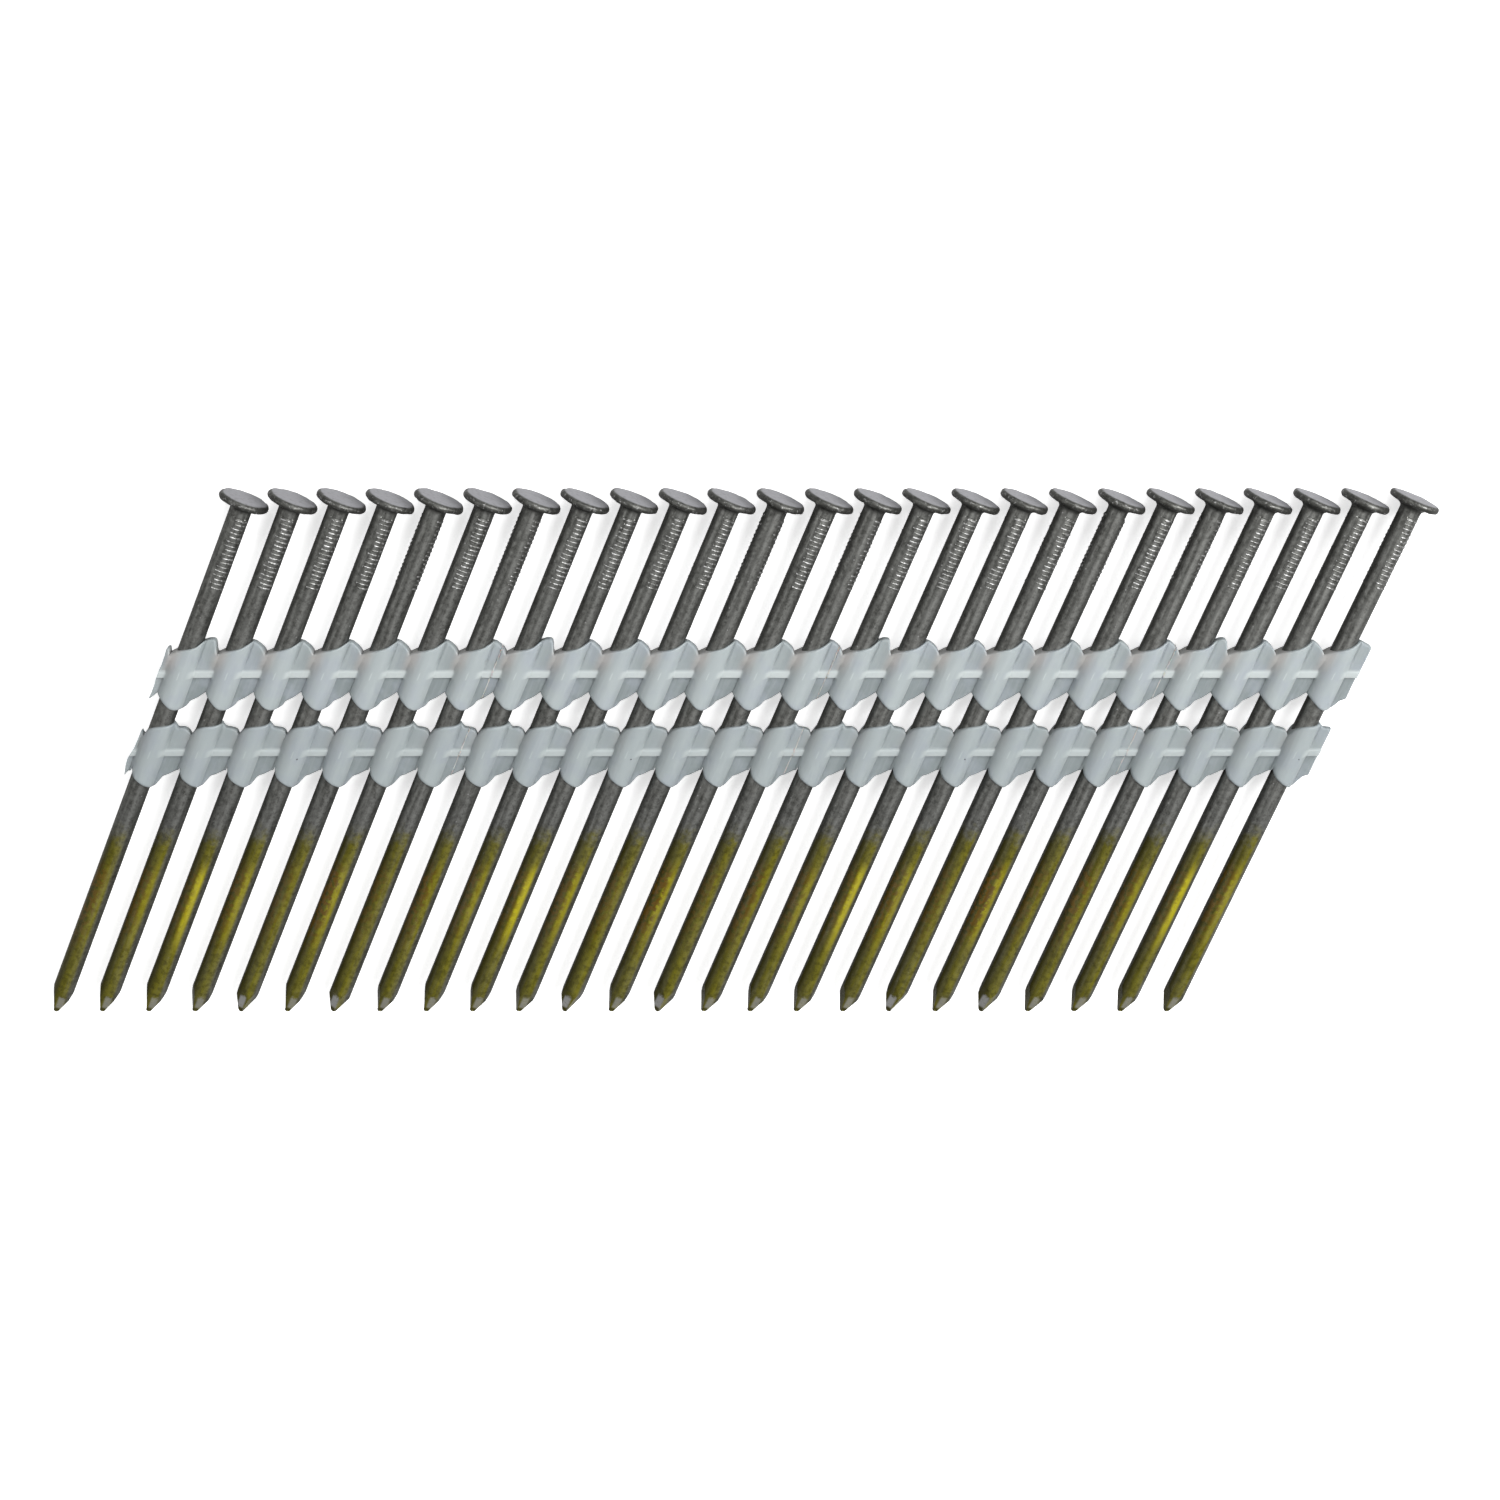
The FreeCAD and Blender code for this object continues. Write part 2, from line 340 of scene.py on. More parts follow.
def nailSteelMaterial():
    look, share = steelLook, steelShare
    material, w = newMaterial("nailSteel")
    place = w.attribute("nailSpace", "Vector")
    seed, marks, cut = (w.attribute(name) for name in ("nailSeed", "dieMark", "cutFacet"))
    amberTone, highlightTone, bareSide = w.split(w.attribute("nailTone", "Vector"))
    side, depth, along = w.split(place)
    own = w.vectorMath("ADD", place, w.vector(z=w.times(seed, look["seedStep"])))

    mottle = w.noise(own, scale=1.6, detail=6.0, roughness=0.66)
    drawn = w.group(streaks, Place=own, Across=2.2, Along=0.22, Soft=0.36, Hard=0.74)
    pitMask = w.group(pits, Place=own, Scale=1.4, Size=0.24, Share=0.16)
    rubbed = w.group(pits, Place=own, Scale=1.1, Size=0.17, Share=0.14)
    base = w.mix(w.ramp(mottle, 0.24, 0.76), look["shadow"], look["middle"])
    # painted highlight: the shank is coloured lighter in a band just right of its centre, where the key
    # light's reflection falls
    paintedSheen = w.ramp(w.apart(side, 0.45), 0.70, 0.05)
    base = w.layer(base, look["light"], paintedSheen, w.ramp(mottle, 0.35, 0.65, 0.10, 0.50))
    base = w.layer(base, look["light"], drawn, share["drawn"])
    base = w.layer(base, look["polished"], rubbed, share["rubbed"])
    base = w.layer(base, look["pit"], pitMask, share["pits"])

    # painted shade: the flanks, where the nails face each other, are darkened as if in shade
    flank = w.ramp(w.math("ABSOLUTE", depth), 1.05, 0.20)
    onShank = w.ramp(along, 1.2, 2.0)
    base = w.layer(base, look["shadow"], flank, onShank, share["flankShade"])

    # the gripping marks are polished, partly real polish and partly painted glints broken up by noise;
    # the rubbed rim is bright from wear
    paintedGlint = w.noise(own, scale=3.0)
    base = w.layer(base, look["polished"], marks, w.ramp(paintedGlint, 0.44, 0.60, 0.0, 0.58))
    reach = w.distance(side, depth)
    # painted shade: the side and underside of the head are darkened
    rimSideShade = w.times(w.ramp(along, 0.10, 0.32), w.ramp(along, 1.9, 1.3))
    base = w.layer(base, look["shadow"], rimSideShade, share["rimSideShade"])
    # painted highlight: the head's top face is coloured lighter than the shank, as if lit from above
    headTopHighlight = w.times(w.ramp(along, 0.16, 0.04), w.ramp(reach, 3.35, 3.05))
    base = w.layer(base, look["headTopHighlight"], headTopHighlight, w.ramp(mottle, 0.22, 0.52, 0.62, 1.0))
    rimWear = w.times(w.ramp(reach, 3.25, 3.50), w.ramp(along, 1.10, 0.95))
    wornSpots = w.noise(own, scale=2.3, detail=4.0, roughness=0.7)
    base = w.layer(base, look["polished"], rimWear, w.ramp(wornSpots, 0.54, 0.72, 0.0, 0.7))

    # the drive coating: a ragged start, faded towards both flanks as a painted reflection, amber where it
    # pooled
    ragged = w.noise(own, scale=0.75, detail=5.0, roughness=0.65)
    edge = w.math("ADD", along, w.times(w.math("SUBTRACT", ragged, 0.5), look["coatRagged"]))
    started = w.ramp(edge, look["coatStart"], look["coatStart"] + look["coatSoft"])
    # painted reflection: the coating fades out towards the flanks, most on the right, so bare grey steel
    # stands for the reflection along the edges
    facing = w.times(w.ramp(side, 1.20, 0.60, 0.14, 1.0), w.ramp(side, -1.50, -1.30, 0.30, 1.0))
    thick = w.group(streaks, Place=own, Across=1.3, Along=0.10, Soft=0.30, Hard=0.66)
    coated = w.math("MULTIPLY", w.times(started, facing),
                    w.math("MULTIPLY_ADD", thick, 0.16, 0.84), clamp=True)
    # painted shade: the film is darker in mottled patches and towards the left side, away from the key
    # light; the patches are its own tone, the side darkening is shade
    mottleAndLeftShade = w.times(w.ramp(mottle, 0.30, 0.68, 0.30, 1.0), w.ramp(side, -1.15, 0.45, 0.14, 1.0))
    film = w.mix(mottleAndLeftShade, look["coatingDark"], look["coating"])
    tipRim = w.ramp(along, nailLengthMm - 1.45, nailLengthMm - 0.95)
    film = w.layer(film, look["coatingDark"], tipRim, share["tipRim"])
    # painted highlight: a bright streak just right of centre on the upper coating, stronger on some nails
    upper = w.times(w.ramp(along, 56.0, 60.0), w.ramp(along, 74.0, 64.0))
    highlightStreak = w.ramp(w.apart(side, 0.35), 0.75, 0.15)
    film = w.layer(film, look["coatingHighlight"], upper, highlightStreak, highlightTone)
    pooled = w.noise(own, scale=1.5, detail=5.0)
    brownSide = w.times(upper, w.ramp(side, 0.75, -0.15))
    film = w.layer(film, look["amber"], w.ramp(pooled, 0.44, 0.54), brownSide,
                   w.math("MULTIPLY_ADD", amberTone, 0.5, 0.45))
    base = w.layer(base, film, coated, share["coated"])

    # one cut facet of the point is bare where the coating missed it
    pointStart = nailLengthMm - pointMm
    toSide = w.times(side, bareSide)
    onSide = w.times(w.ramp(toSide, -0.30, 0.05), w.ramp(toSide, 0.95, 0.65))
    belowArc = w.ramp(w.math("ADD", along, w.times(wornSpots, 1.4)),
                      pointStart + 0.9, pointStart + 1.5)
    aboveTip = w.ramp(along, nailLengthMm - 1.05, nailLengthMm - 1.5)
    bareness = w.math("MULTIPLY_ADD", bareSide, -0.18, 0.64)
    base = w.layer(base, look["bareCut"], cut, onSide, belowArc, aboveTip, bareness)

    rough = w.math("ADD", w.ramp(mottle, 0.3, 0.7, 0.47, 0.36), w.times(pitMask, 0.2))
    fine = w.noise(own, scale=5.0, detail=4.0, roughness=0.6)
    relief = w.math("SUBTRACT", w.math("ADD", w.times(fine, 0.35), w.times(drawn, 0.12)),
                    w.times(pitMask, 0.7))
    w.surface({"Base Color": base,
               "Metallic": w.math("SUBTRACT", 0.72, w.times(coated, 0.42)),
               "Roughness": w.math("SUBTRACT", rough, w.times(coated, 0.12)),
               "Specular IOR Level": w.math("MULTIPLY_ADD", coated, -0.3, 0.5),
               "Normal": w.bump(relief, 0.05 * mm)})
    return material


# tones the collar shape gives the plastic: painted shade in the recesses, a painted shade outline at the
# rims, the rib's tone and a warm tint
toneNames = ("recessShade", "rimShade", "ribTone", "warmth")
plasticLook = {
    "body": colour(0.318, 0.352, 0.358),
    "deep": colour(0.198, 0.226, 0.232),
    "rim": colour(0.410, 0.438, 0.438),
    "rib": colour(0.430, 0.466, 0.464),
    "warm": colour(0.390, 0.358, 0.336),
    "cool": colour(0.288, 0.316, 0.354),
    "lowerFrom": 31 * mm,        # the lower band is a little darker than the upper one
    "lowerAll": 33 * mm,
}


def bandPlasticMaterial():
    look = plasticLook
    material, w = newMaterial("bandPlastic")
    recessShade, rim, rib, warm = (w.attribute(name) for name in toneNames)
    where = w.objectPlace()
    turned = w.node("ShaderNodeMapping", {"Vector": where, "Rotation": (0, 0, lean),
                                          "Scale": (1000, 1000, 1000)}).outputs[0]
    sideways, lengthways, outwards = w.split(turned)
    flow = w.group(streaks, Place=w.vector(sideways, outwards, lengthways), Across=1.7,
                   Along=0.13, Soft=0.40, Hard=0.66)
    cloud = w.noise(turned, scale=0.30, detail=3.0)
    lowerDown = w.ramp(w.split(where)[1], leadHead.y - look["lowerFrom"],
                       leadHead.y - look["lowerAll"])
    # painted shade: the pockets and crease are darkened towards the deep tone
    base = w.mix(recessShade, look["body"], look["deep"])
    base = w.mix(w.ramp(cloud, 0.42, 0.66, 0.0, 0.5), base, look["cool"])
    # the rims get a painted shade outline
    for mask, tone, share in ((warm, "warm", 0.65), (flow, "rim", 0.14), (rib, "rib", 0.9),
                              (rim, "deep", 0.16), (lowerDown, "deep", 0.28)):
        base = w.layer(base, look[tone], mask, share)
    fine = w.noise(turned, scale=2.2, detail=4.0)
    relief = w.math("ADD", w.times(flow, 0.5), w.times(fine, 0.4))
    w.surface({"Base Color": base, "Subsurface Weight": 0.60,
               "Subsurface Radius": (1.0, 1.05, 1.1), "Subsurface Scale": 1.0 * mm, "IOR": 1.49,
               "Specular IOR Level": 0.35, "Roughness": w.ramp(fine, 0.3, 0.7, 0.52, 0.66),
               "Normal": w.bump(relief, 0.06 * mm)})
    return material


nailSteel = nailSteelMaterial()
bandPlastic = bandPlasticMaterial()
print("materials made")

# the nails
nailShape = {
    "segments": 72,
    "pointRings": 26,
    "pointShort": 0.78,         # the point is worn back by this much
    "tipRadius": 0.42,          # the blunt end of the point is a low dome
    "tipRise": 0.32,
    "bluntHalfWidth": 0.34,
    # head profile, millimetres: radius, distance below the top
    "headProfile": [(0.9, 0.0), (1.9, 0.0), (2.7, 0.008), (3.02, 0.025), (3.18, 0.06),
                    (3.32, 0.12), (3.43, 0.21), (3.51, 0.33), (3.56, 0.48), (3.57, 0.64),
                    (3.55, 0.80), (3.48, 0.94), (3.35, 1.04), (3.10, 1.10), (2.70, 1.14),
                    (2.30, 1.22), (1.98, 1.34), (1.74, 1.50), (1.58, 1.68), (1.53, 1.86),
                    (1.524, 2.02)],
    "dieFlatStart": 1.45,       # the smooth dent that the die leaves under the head
    "dieFlatEnd": 2.75,
    "dieFlatDepth": 0.15,
}


def nailBlank():
    shape = nailShape
    segments = shape["segments"]
    radius = shankRadius / mm
    rings = [(r, s, 0.0) for r, s in shape["headProfile"]]
    s = 2.12
    while s < nailLengthMm - pointMm - 1.0:
        rings.append((radius, s, 0.0))
        s += 0.12 if s < 2.9 else (0.6 if s < 14 else 1.6)
    slope = (radius - shape["bluntHalfWidth"]) / pointMm
    for step in range(shape["pointRings"] + 1):
        s = nailLengthMm - pointMm * (1 - step / shape["pointRings"])
        rings.append((radius, s - shape["pointShort"],
                      shape["bluntHalfWidth"] + slope * (nailLengthMm - s)))
    domeStart = nailLengthMm - shape["pointShort"]
    for turn in (20, 40, 60, 78):
        angle = math.radians(turn)
        rings.append((shape["tipRadius"] * math.cos(angle),
                      domeStart + shape["tipRise"] * math.sin(angle), 0.0))
    vertices = [(0.0, 0.0, 0.0)]
    facets = [0.0]
    for r, s, halfWidth in rings:
        for k in range(segments):
            angle = 2 * math.pi * k / segments
            reach = r
            facet = 0.0
            if halfWidth:
                flat = halfWidth / max(abs(math.cos(angle)), abs(math.sin(angle)))
                if flat < r - 0.004:
                    facet = 1.0
                reach = min(r, flat)
            turnFromFlat = abs((angle + math.pi) % math.pi - math.pi / 2)
            dent = (smoothStep(shape["dieFlatStart"], shape["dieFlatStart"] + 0.12, s)
                    * smoothStep(shape["dieFlatEnd"] + 0.12, shape["dieFlatEnd"], s)
                    * smoothStep(0.62, 0.48, turnFromFlat))
            reach -= shape["dieFlatDepth"] * dent
            vertices.append((reach * math.cos(angle) * mm, reach * math.sin(angle) * mm, -s * mm))
            facets.append(facet)
    faces = [(0, 1 + k, 1 + (k + 1) % segments) for k in range(segments)]
    faces += ringFaces(len(rings), segments, start=1)
    lastStart = 1 + (len(rings) - 1) * segments
    vertices.append((0.0, 0.0, -(domeStart + shape["tipRise"]) * mm))
    facets.append(0.0)
    tip = len(vertices) - 1
    faces += [(lastStart + k, tip, lastStart + (k + 1) % segments) for k in range(segments)]
    blank = meshObject("nailBlank", vertices, faces)
    attribute = blank.data.attributes.new("cutFacet", "FLOAT", "POINT")
    attribute.data.foreach_set("value", facets)
    faceOutwards(blank.data)
    blank.data.shade_smooth()
    blank.data.set_sharp_from_angle(angle=math.radians(24))
    return blank


markSpread = {"swingLow": (-0.02, -0.03, 0.02), "swingHigh": (0.02, 0.03, 0.42),
              "sizeLow": (0.918, 0.925, 0.75), "sizeHigh": (0.948, 0.955, 1.20)}


def nailTree():
    tree, w, given = newGroup("nailForging", "GeometryNodeTree", {
        "Geometry": "Geometry", "Turn": "Float", "Seed": "Int", "Rim Wear": "Float",
        "Mark Count": "Int", "Mark Pitch": "Float", "Mark Start": "Float",
        "Mark Sweep": "Float", "Mark Radius": "Float", "Shank Radius": "Float",
        "Lay": "Vector", "Head Centre": "Vector", "Tone": "Vector",
        "Steel": "Material"}, ("Geometry", "Geometry"))

    # nicked rim and slightly uneven head
    position = w.node("GeometryNodeInputPosition")
    x, y, z = w.split(position)
    nearRim = w.times(w.ramp(w.distance(x, y), 2.4 * mm, 3.4 * mm), w.ramp(z, -1.6 * mm, -1.0 * mm))
    noise = w.node("ShaderNodeTexNoise", {"Vector": position, "W": w.times(given["Seed"], 3.7),
                                          "Scale": 620.0, "Detail": 3.0}, noise_dimensions="4D")
    amount = w.times(w.math("SUBTRACT", noise.outputs[0], 0.60),
                     w.times(nearRim, given["Rim Wear"]))
    normal = w.node("GeometryNodeInputNormal")
    push = w.node("ShaderNodeVectorMath", {0: normal, "Scale": amount}, operation="SCALE")
    worn = w.node("GeometryNodeSetPosition", {"Geometry": given["Geometry"],
                                              "Offset": push.outputs[0]})

    # ridges bitten by the two gripping dies, front and back
    def biteArc(facing):
        start = w.math("SUBTRACT", facing, w.times(given["Mark Sweep"], 0.5))
        arc = w.node("GeometryNodeCurveArc", {"Resolution": 18, "Radius": given["Shank Radius"],
                                              "Start Angle": start,
                                              "Sweep Angle": given["Mark Sweep"]})
        factor = w.node("GeometryNodeSplineParameter").outputs["Factor"]
        swell = w.math("POWER", w.math("SINE", w.times(factor, math.pi)), 0.8)
        return w.node("GeometryNodeSetCurveRadius", {"Curve": arc, "Radius": swell})

    arcs = w.node("GeometryNodeJoinGeometry")
    for facing in (-math.pi / 2, math.pi / 2):
        tree.links.new(biteArc(facing).outputs[0], arcs.inputs[0])
    section = w.node("GeometryNodeCurvePrimitiveCircle", {"Resolution": 8,
                                                          "Radius": given["Mark Radius"]})
    ridge = w.node("GeometryNodeCurveToMesh", {"Curve": arcs, "Profile Curve": section,
                                               "Fill Caps": True})
    line = w.node("GeometryNodeMeshLine", {
        "Count": given["Mark Count"], "Start Location": w.vector(z=w.times(given["Mark Start"], -1.0)),
        "Offset": w.vector(z=w.times(given["Mark Pitch"], -1.0))})
    swing, size = (w.node("FunctionNodeRandomValue",
                          {"Min": markSpread[label + "Low"], "Max": markSpread[label + "High"],
                           "Seed": given["Seed"]}, data_type="FLOAT_VECTOR")
                   for label in ("swing", "size"))
    bitten = w.node("GeometryNodeInstanceOnPoints", {"Points": line, "Instance": ridge,
                                                     "Rotation": swing.outputs[0],
                                                     "Scale": size.outputs[0]})
    marks = w.node("GeometryNodeRealizeInstances", {0: bitten})
    smoothMarks = w.node("GeometryNodeSetShadeSmooth", {0: w.store(marks, "dieMark", 1.0)})
    whole = w.node("GeometryNodeJoinGeometry")
    tree.links.new(smoothMarks.outputs[0], whole.inputs[0])
    tree.links.new(worn.outputs[0], whole.inputs[0])

    # turn about its own axis, note each point's place on the nail, then lay it in the strip
    turned = w.node("GeometryNodeTransform", {"Geometry": whole,
                                              "Rotation": w.vector(z=given["Turn"])})
    place = w.node("GeometryNodeInputPosition")
    inMillimetres = w.vectorMath("MULTIPLY", place, (1000.0, 1000.0, -1000.0))
    noted = w.store(turned, "nailSpace", inMillimetres, "FLOAT_VECTOR")
    seeded = w.store(noted, "nailSeed", given["Seed"])
    toned = w.store(seeded, "nailTone", given["Tone"], "FLOAT_VECTOR")
    laid = w.node("GeometryNodeTransform", {"Geometry": toned, "Rotation": given["Lay"],
                                            "Translation": given["Head Centre"]})
    made = w.node("GeometryNodeRealizeInstances", {0: laid})
    finished = w.node("GeometryNodeSetMaterial", {"Geometry": made, "Material": given["Steel"]})
    w.node("NodeGroupOutput", {0: finished})
    return tree


nailFinish = {
    "Rim Wear": 0.00042,
    "Mark Count": 17,
    "Mark Pitch": 0.64 * mm,
    "Mark Start": 3.1 * mm,
    "Mark Sweep": math.radians(72),
    "Mark Radius": 0.18 * mm,
    "Shank Radius": shankRadius,
    "Steel": nailSteel,
}
# how each of a run of seven sits: degrees turned, amber in its coating, brightness of the painted
# highlight on its coating, bare side
runOfSeven = [(16, 0.55, 0.15, 1), (8, 0.20, 0.30, 1), (12, 0.0, 1.0, 1), (20, 0.35, 0.45, 1),
              (64, 0.0, 0.10, -1), (10, 1.0, 0.50, 1), (52, 0.0, 0.05, -1)]


def makeNails():
    layMatrix = Matrix((across, -Vector((0, 0, 1)), -towardTip)).transposed()
    blank = nailBlank()
    tree = nailTree()
    modifier = blank.modifiers.new("forging", "NODES")
    modifier.node_group = tree
    setInputs(modifier, nailFinish)
    for index, name in enumerate(nailNames):
        turn, amber, bright, bareSide = runOfSeven[index % len(runOfSeven)]
        setInputs(modifier, {
            "Turn": math.radians(turn), "Seed": index + 1, "Tone": (amber, bright, bareSide),
            "Lay": tuple(layMatrix.to_euler()),
            "Head Centre": tuple(leadHead + Vector((index * nailPitch, 0, 0)))})
        blank.update_tag()
        bpy.context.view_layer.update()
        nail = bakeModifiers(blank, "forgedNail_%02d" % (index + 1))
        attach(nail, name)
        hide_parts(name)
    bpy.data.objects.remove(blank)
    print("nails made:", nailCount)


makeNails()

# the plastic bands
# outlines are offset from the nail's axis along the strip, and height from the band's middle
upperBand = {
    "level": 26.2,
    "top": [(-2.46, 4.15), (-1.70, 4.52), (-0.36, 4.88), (0.72, 5.22), (1.35, 5.62),
            (1.85, 5.90), (2.25, 5.82), (2.70, 5.55), (3.20, 5.20), (3.70, 4.78), (4.23, 4.15)],
    "firstTop": [(-2.46, 4.15), (-1.50, 4.65), (0.0, 5.00), (0.95, 5.30), (1.60, 5.85),
                 (2.20, 6.18), (2.85, 6.20), (3.30, 5.95), (3.62, 5.35), (3.90, 4.65),
                 (4.23, 4.15)],
    "leadTop": [(3.00, 4.70), (3.40, 4.95), (3.75, 4.98), (4.05, 4.50), (4.23, 4.15)],
    "bottom": [(-2.12, -1.60), (-1.45, -2.15), (-0.66, -2.80), (0.20, -3.45), (0.95, -3.82),
               (1.60, -3.92), (2.20, -3.78), (2.62, -3.35), (2.82, -2.88), (3.10, -2.66),
               (3.70, -2.30), (4.57, -1.50)],
    "scaleTop": 0.45,            # the collar's left edge is crisp below this height
    "earHeight": 0.80,
    "earRise": 0.62,
    "pocketHeight": 0.52,
    "ribBottom": 0.65,
    "ribTop": 1.80,
    "warmSide": 1.0,
    "leftRecessShade": 1.0,
}
lowerBand = {
    "level": 37.6,
    "top": [(-1.89, 3.80), (-1.50, 4.60), (-0.60, 5.10), (1.00, 5.25), (1.90, 5.30),
            (2.56, 4.80), (3.50, 4.60), (4.25, 4.30), (4.80, 3.65)],
    "firstTop": [(-1.89, 3.80), (-1.50, 4.60), (-0.60, 5.10), (1.00, 5.25), (1.90, 5.30),
                 (2.56, 4.75), (3.40, 4.70), (4.20, 4.30), (4.80, 3.65)],
    "leadTop": [(3.00, 4.30), (3.50, 4.30), (4.00, 4.30), (4.45, 4.10), (4.80, 3.65)],
    "bottom": [(-1.83, -1.00), (-1.45, -1.75), (-0.90, -2.40), (0.04, -3.05), (1.00, -3.60),
               (1.75, -3.90), (2.30, -3.75), (2.62, -3.15), (2.95, -2.50), (3.60, -2.20),
               (4.86, -1.40)],
    "scaleTop": 3.9,
    "earHeight": 0.66,
    "earRise": 0.12,
    "pocketHeight": 0.50,
    "ribBottom": 0.60,
    "ribTop": 1.75,
    "warmSide": 0.35,
    "leftRecessShade": 1.0,
}
collarShape = {
    "radius": 2.0,               # outside of the sleeve round the nail
    "rimRound": 0.26,
    "ribHeight": 0.84,
    "creaseAt": 1.76,
    "creaseWidth": 0.17,
    "creaseDepth": 0.15,
    "creaseShade": 0.60,
    "domeFall": 2.2,             # slope of the sleeve beside the nail, past its radius
    "ribEdge": 0.10,
    "ribOver": 0.12,             # the rib's edge stands this far over a low web
    "earShade": 0.35,
    "outlineStep": 0.05,         # for the slope of an outline
    "outlineSteepest": 1.6,
    "rimWidth": 0.42,
    "columnNudge": 0.08,         # extra columns on both sides of a corner
    "columnLeast": 0.012,
    "cornerMargin": 0.02,
}
pitchMm = nailPitch / mm
halfPitch = pitchMm / 2
cosLean = math.cos(lean)


def edgeHeight(points, offset, before=None):
    # before is the outline of the collar ahead, where it differs
    if offset < points[0][0]:
        offset += pitchMm
        points = before or points
    elif offset > points[-1][0]:
        offset -= pitchMm
    return throughPoints(points, offset)


def softMax(first, second, width):
    gap = max(width - abs(first - second), 0.0) / width
    return max(first, second) + gap * gap * width / 4


def collarSurface(band, offset, height):
    # height of the front face above the strip's middle plane, and how much each tone shows
    shape = collarShape
    beside = offset * cosLean
    radius = shape["radius"]
    dome = math.sqrt(max(radius * radius - beside * beside, 0.0))
    dome -= shape["domeFall"] * max(abs(beside) - radius, 0.0)
    after = offset if offset > 0 else offset + pitchMm
    towardNext = smoothStep(2.4, 5.2, after) * smoothStep(-0.2, -1.0, min(offset, -offset))
    if height < band["ribBottom"]:
        web = band["pocketHeight"]
    else:
        risen = smoothStep(band["ribTop"] - 0.3, band["ribTop"] + 1.6, height)
        web = band["earHeight"] + band["earRise"] * towardNext * risen
    onRib = (smoothStep(band["ribBottom"] - 0.02, band["ribBottom"] + shape["ribEdge"], height)
             * smoothStep(band["ribTop"] + 0.10, band["ribTop"] - 0.25, height))
    web = max(web, web + (shape["ribHeight"] - web + shape["ribOver"]) * onRib)
    if offset < 0:
        crisp = smoothStep(band["scaleTop"] + 0.3, band["scaleTop"] - 0.3, height)
        width = 0.10 + 0.75 * (1 - crisp) * (1 - 0.75 * onRib)
    elif height > band["ribBottom"] - 0.1:
        width = 0.12 + 0.5 * onRib
    else:
        width = 0.30
    surface = softMax(dome, web, width)
    crease = 0.0
    if offset > 0:
        away = (beside - shape["creaseAt"]) / shape["creaseWidth"]
        crease = math.exp(-away * away) * smoothStep(band["ribTop"] + 0.1, band["ribTop"] + 1.7, height)
        surface -= shape["creaseDepth"] * crease
    # painted shade: the pockets beside the sleeve, the web above the rib and the crease are darkened
    onDome = smoothStep(-0.05, 0.25, dome - web)
    recessShade = (1 - onDome) * (1 - onRib)
    if height < band["ribBottom"]:
        recessShade += shape["earShade"] * (1 - onDome) * smoothStep(0.75, 0.0, band["ribBottom"] - height)
    else:
        recessShade *= shape["earShade"]
    if offset < 0:
        recessShade *= band["leftRecessShade"]
    recessShade = max(recessShade, shape["creaseShade"] * crease)
    ribTone = onRib * smoothStep(0.9, 1.7, offset if offset > 0 else after)
    if offset < 0:
        ribTone *= smoothStep(-1.7, -2.3, offset)
    leftSide = smoothStep(-0.2, -1.8, offset) if offset < 0 else 0.0
    warmth = leftSide * smoothStep(0.5, 3.5, height) * band["warmSide"]
    if offset < -1.8:
        warmth *= smoothStep(-3.3, -2.2, offset)
    return surface, min(recessShade, 1.0), ribTone, warmth


columnCount = 50                 # over one pitch of band
rimSteps = (0.0, 0.03, 0.09, 0.18, 0.29, 0.42)
rimClear = 0.56                  # the even rows start this far from a rim
rowCount = 22                    # below the rib, and again above it


def columnOffsets(band):
    shape = collarShape
    marks = [band["top"][0][0], band["bottom"][0][0], band["top"][-1][0] - pitchMm,
             -shape["radius"] / cosLean, shape["radius"] / cosLean, shape["creaseAt"] / cosLean]
    offsets = {round(-halfPitch + pitchMm * step / columnCount, 5)
               for step in range(columnCount + 1)}
    for mark in marks:
        for nudge in (-shape["columnNudge"], 0.0, shape["columnNudge"]):
            if abs(mark + nudge) < halfPitch - shape["cornerMargin"]:
                offsets.add(round(mark + nudge, 5))
    kept = []
    for offset in sorted(offsets):
        if not kept or offset - kept[-1] > shape["columnLeast"]:
            kept.append(offset)
    kept[-1] = round(halfPitch, 5)
    return kept


def rowHeights(band, low, high):
    ribBottom, ribTop = band["ribBottom"], band["ribTop"]
    ribRows = [ribBottom - 0.03, ribBottom + 0.02, ribBottom + 0.09, ribBottom + 0.4,
               (ribBottom + ribTop) / 2 + 0.15, ribTop - 0.25, ribTop - 0.05, ribTop + 0.12]
    rows = [low + step for step in rimSteps]
    start, end = low + rimClear, ribBottom - 0.15
    rows += [start + (end - start) * step / rowCount for step in range(rowCount + 1)]
    rows += ribRows
    start, end = ribTop + 0.28, high - rimClear
    rows += [start + (end - start) * step / rowCount for step in range(rowCount + 1)]
    rows += [high - step for step in reversed(rimSteps)]
    return rows


def rimFall(distance):
    rimRound = collarShape["rimRound"]
    if distance >= rimRound:
        return 0.0
    inside = 1 - distance / rimRound
    return rimRound * (1 - math.sqrt(max(1 - inside * inside, 0.0)))


